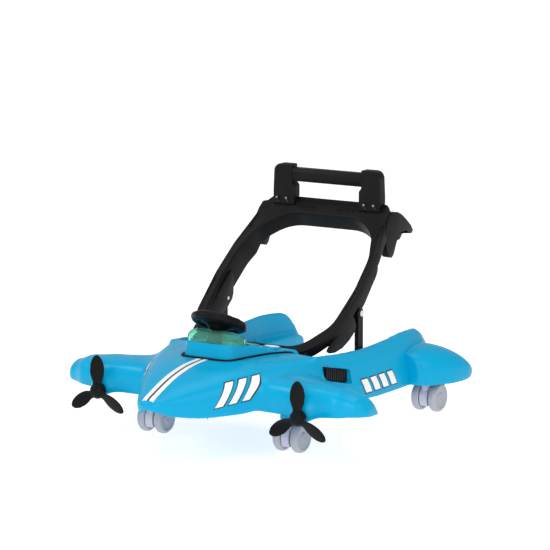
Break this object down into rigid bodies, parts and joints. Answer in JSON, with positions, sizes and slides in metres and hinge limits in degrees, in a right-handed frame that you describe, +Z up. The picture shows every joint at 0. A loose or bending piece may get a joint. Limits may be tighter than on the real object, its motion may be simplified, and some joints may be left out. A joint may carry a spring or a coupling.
{
  "type": "baby walker",
  "caption": "Aeroplane-shaped push-along baby walker with spinning propellers, steering wheel, folding seat ring with handle, and swivel casters.",
  "frame": {"origin": "on the floor under the middle of the bounding box", "axes": "+Z up, -Y towards the nose, +X towards the walker's right-hand wing as seen from in front"},
  "size_m": [0.614, 0.708, 0.44],
  "materials": {
    "blue_shell": "semi-gloss moulded cyan-blue polypropylene",
    "black_frame": "fine-textured matte black polypropylene",
    "black_trim": "satin black plastic",
    "clear_green": "clear tinted green styrene",
    "white_plastic": "gloss white plastic",
    "green_plastic": "translucent green lens",
    "pale_grey": "pale lilac-grey nylon",
    "wheel_grey": "satin grey wheel plastic",
    "grey_plastic": "matte grey plastic",
    "battery_sleeve": "plain sleeved cell",
    "circuit": "green laminate",
    "speaker_metal": "pressed steel and paper cone",
    "steel": "zinc-plated steel"
  },
  "bodies": {
    "base": {"base_shell": "blue_shell", "left_tail_pod": "blue_shell", "right_tail_pod": "blue_shell", "console_shell": "blue_shell", "left_caster_bracket": "blue_shell", "right_caster_bracket": "blue_shell", "left_side_vent": "black_trim", "right_side_vent": "black_trim", "console_trim": "black_trim", "steering_bush": "black_trim", "hinge_brackets": "black_trim", "dash_dome": "clear_green", "battery_box": "grey_plastic", "battery_door": "grey_plastic", "batteries": "battery_sleeve", "circuit_board": "circuit", "speaker": "speaker_metal", "propeller_pins": "steel", "hinge_pins": "steel"},
    "left_propeller": {"left_propeller": "black_trim"},
    "left_white_button": {"left_white_button": "white_plastic"},
    "left_green_button": {"left_green_button": "green_plastic"},
    "left_strut": {"left_strut": "black_frame"},
    "ring": {"left_ring_hook": "black_frame", "left_handle_bracket": "black_frame", "right_ring_hook": "black_frame", "right_handle_bracket": "black_frame", "seat_ring": "black_frame", "handle_bar": "black_frame", "handle_screws": "steel", "strut_screws": "steel"},
    "right_propeller": {"right_propeller": "black_trim"},
    "right_white_button": {"right_white_button": "white_plastic"},
    "right_green_button": {"right_green_button": "green_plastic"},
    "right_strut": {"right_strut": "black_frame"},
    "steering": {"steering_wheel": "black_trim", "steering_column": "black_trim"},
    "horn_button": {"horn_button": "white_plastic"},
    "front_right_caster": {"front_right_frame": "pale_grey", "front_right_axle": "steel", "front_right_stem": "steel"},
    "front_right_inner_wheel": {"front_right_inner_wheel": "wheel_grey"},
    "front_right_outer_wheel": {"front_right_outer_wheel": "wheel_grey"},
    "front_left_caster": {"front_left_frame": "pale_grey", "front_left_axle": "steel", "front_left_stem": "steel"},
    "front_left_inner_wheel": {"front_left_inner_wheel": "wheel_grey"},
    "front_left_outer_wheel": {"front_left_outer_wheel": "wheel_grey"},
    "rear_right_caster": {"rear_right_frame": "pale_grey", "rear_right_axle": "steel", "rear_right_stem": "steel"},
    "rear_right_inner_wheel": {"rear_right_inner_wheel": "wheel_grey"},
    "rear_right_outer_wheel": {"rear_right_outer_wheel": "wheel_grey"},
    "rear_left_caster": {"rear_left_frame": "pale_grey", "rear_left_axle": "steel", "rear_left_stem": "steel"},
    "rear_left_inner_wheel": {"rear_left_inner_wheel": "wheel_grey"},
    "rear_left_outer_wheel": {"rear_left_outer_wheel": "wheel_grey"}
  },
  "joints": [
    {"name": "left_propeller_spin", "type": "hinge", "parent": "base", "child": "left_propeller", "pos_m": [-0.205, -0.208, 0.082], "axis": [0, 1, 0], "continuous": true},
    {"name": "right_propeller_spin", "type": "hinge", "parent": "base", "child": "right_propeller", "pos_m": [0.205, -0.208, 0.082], "axis": [0, 1, 0], "continuous": true},
    {"name": "steering_turn", "type": "hinge", "parent": "base", "child": "steering", "pos_m": [0, -0.132, 0.213], "axis": [0, 0.4384, 0.8988], "range_deg": [-60, 60]},
    {"name": "horn_press", "type": "slide", "parent": "steering", "child": "horn_button", "axis": [0, -0.4384, -0.8988], "range_m": [0, 0.002], "stiffness_N_per_m": 400, "springref_m": -0.0005},
    {"name": "left_white_press", "type": "slide", "parent": "base", "child": "left_white_button", "axis": [0, -0.1771, -0.9842], "range_m": [0, 0.002], "stiffness_N_per_m": 400, "springref_m": -0.0005},
    {"name": "left_green_press", "type": "slide", "parent": "base", "child": "left_green_button", "axis": [0, -0.1771, -0.9842], "range_m": [0, 0.002], "stiffness_N_per_m": 400, "springref_m": -0.0005},
    {"name": "right_white_press", "type": "slide", "parent": "base", "child": "right_white_button", "axis": [0, -0.1771, -0.9842], "range_m": [0, 0.002], "stiffness_N_per_m": 400, "springref_m": -0.0005},
    {"name": "right_green_press", "type": "slide", "parent": "base", "child": "right_green_button", "axis": [0, -0.1771, -0.9842], "range_m": [0, 0.002], "stiffness_N_per_m": 400, "springref_m": -0.0005},
    {"name": "ring_fold", "type": "hinge", "parent": "base", "child": "ring", "pos_m": [0, -0.02, 0.148], "axis": [1, 0, 0], "range_deg": [-30, 0]},
    {"name": "left_strut_swing", "type": "hinge", "parent": "ring", "child": "left_strut", "pos_m": [-0.1423, 0.1, 0.206], "axis": [1, 0, 0], "range_deg": [0, 110]},
    {"name": "right_strut_swing", "type": "hinge", "parent": "ring", "child": "right_strut", "pos_m": [0.1423, 0.1, 0.206], "axis": [1, 0, 0], "range_deg": [0, 110]},
    {"name": "front_right_swivel", "type": "hinge", "parent": "base", "child": "front_right_caster", "pos_m": [0.1406, -0.132, 0.07], "axis": [0, 0, 1], "continuous": true},
    {"name": "front_right_inner_roll", "type": "hinge", "parent": "front_right_caster", "child": "front_right_inner_wheel", "pos_m": [0.1406, -0.12, 0.0265], "axis": [1, 0, 0], "continuous": true},
    {"name": "front_right_outer_roll", "type": "hinge", "parent": "front_right_caster", "child": "front_right_outer_wheel", "pos_m": [0.1406, -0.12, 0.0265], "axis": [1, 0, 0], "continuous": true},
    {"name": "front_left_swivel", "type": "hinge", "parent": "base", "child": "front_left_caster", "pos_m": [-0.1406, -0.132, 0.07], "axis": [0, 0, 1], "continuous": true},
    {"name": "front_left_inner_roll", "type": "hinge", "parent": "front_left_caster", "child": "front_left_inner_wheel", "pos_m": [-0.1406, -0.12, 0.0265], "axis": [1, 0, 0], "continuous": true},
    {"name": "front_left_outer_roll", "type": "hinge", "parent": "front_left_caster", "child": "front_left_outer_wheel", "pos_m": [-0.1406, -0.12, 0.0265], "axis": [1, 0, 0], "continuous": true},
    {"name": "rear_right_swivel", "type": "hinge", "parent": "base", "child": "rear_right_caster", "pos_m": [0.181, 0.275, 0.07], "axis": [0, 0, 1], "continuous": true},
    {"name": "rear_right_inner_roll", "type": "hinge", "parent": "rear_right_caster", "child": "rear_right_inner_wheel", "pos_m": [0.181, 0.287, 0.0265], "axis": [1, 0, 0], "continuous": true},
    {"name": "rear_right_outer_roll", "type": "hinge", "parent": "rear_right_caster", "child": "rear_right_outer_wheel", "pos_m": [0.181, 0.287, 0.0265], "axis": [1, 0, 0], "continuous": true},
    {"name": "rear_left_swivel", "type": "hinge", "parent": "base", "child": "rear_left_caster", "pos_m": [-0.181, 0.275, 0.07], "axis": [0, 0, 1], "continuous": true},
    {"name": "rear_left_inner_roll", "type": "hinge", "parent": "rear_left_caster", "child": "rear_left_inner_wheel", "pos_m": [-0.181, 0.287, 0.0265], "axis": [1, 0, 0], "continuous": true},
    {"name": "rear_left_outer_roll", "type": "hinge", "parent": "rear_left_caster", "child": "rear_left_outer_wheel", "pos_m": [-0.181, 0.287, 0.0265], "axis": [1, 0, 0], "continuous": true}
  ],
  "couplings": [
    {"joint": "left_strut_swing", "follows": "ring_fold", "ratio": -3.6666},
    {"joint": "right_strut_swing", "follows": "ring_fold", "ratio": -3.6666}
  ]
}
